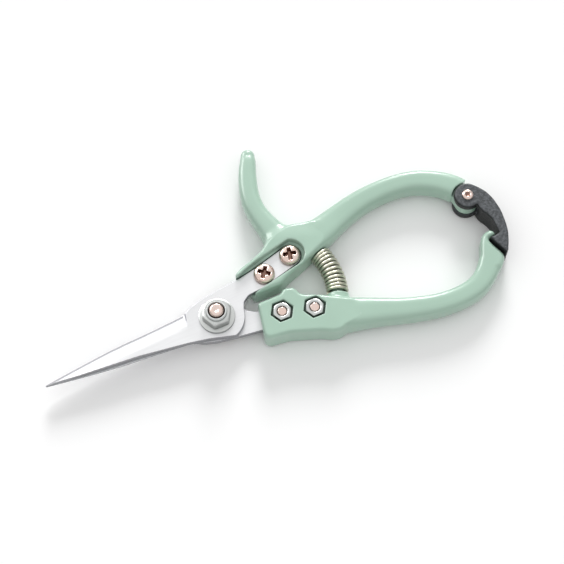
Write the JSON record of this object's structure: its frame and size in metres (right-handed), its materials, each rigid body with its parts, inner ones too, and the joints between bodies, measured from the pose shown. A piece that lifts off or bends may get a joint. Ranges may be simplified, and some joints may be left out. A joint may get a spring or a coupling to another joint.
{
  "type": "pruning shears",
  "caption": "Straight-blade hand pruning shears with bolted cast handles, a thumb horn, a return spring and a swing catch that locks the handles.",
  "frame": {"origin": "on the pivot axis, at the flat outer face of the pivot bolt's head, which is the plane that the shears lie on", "axes": "+X from the blade tips to the handle ends, +Y to the handle with the thumb horn, +Z along the pivot axis towards the pivot nut"},
  "size_m": [0.2022, 0.1026, 0.0163],
  "materials": {
    "handle_paint": "semi-gloss sage green coating on cast aluminium",
    "blade_steel": "ground and satin-polished stainless steel",
    "fastener_zinc": "bright zinc plate with a warm tint",
    "pivot_zinc": "bright zinc plate",
    "spring_zinc": "yellow-passivated zinc on spring wire",
    "catch_plastic": "charcoal moulded nylon with a light texture",
    "collar_nylon": "natural nylon locking insert"
  },
  "bodies": {
    "lower_half": {"lower_handle": "handle_paint", "rear_blade": "blade_steel", "lower_blade_screw_1": "fastener_zinc", "lower_blade_screw_2": "fastener_zinc", "lower_blade_nut_1": "fastener_zinc", "lower_blade_nut_2": "fastener_zinc", "pivot_bolt": "fastener_zinc", "pivot_washer": "pivot_zinc", "pivot_nut": "pivot_zinc", "pivot_nut_collar": "collar_nylon", "return_spring": "spring_zinc"},
    "upper_half": {"upper_handle": "handle_paint", "front_blade": "blade_steel", "upper_blade_screw_1": "fastener_zinc", "upper_blade_screw_2": "fastener_zinc", "upper_blade_nut_1": "fastener_zinc", "upper_blade_nut_2": "fastener_zinc", "catch_rivet": "fastener_zinc", "catch_rivet_washer": "fastener_zinc"},
    "catch": {"catch_lever": "catch_plastic"}
  },
  "joints": [
    {"name": "handle_pivot", "type": "hinge", "parent": "lower_half", "child": "upper_half", "pos_m": [0, 0, 0], "axis": [0, 0, 1], "range_deg": [0, 27], "deforming": ["return_spring"]},
    {"name": "catch_swing", "type": "hinge", "parent": "upper_half", "child": "catch", "pos_m": [0.1172, 0.0077, 0], "axis": [0, 0, 1], "range_deg": [0, 60]}
  ]
}
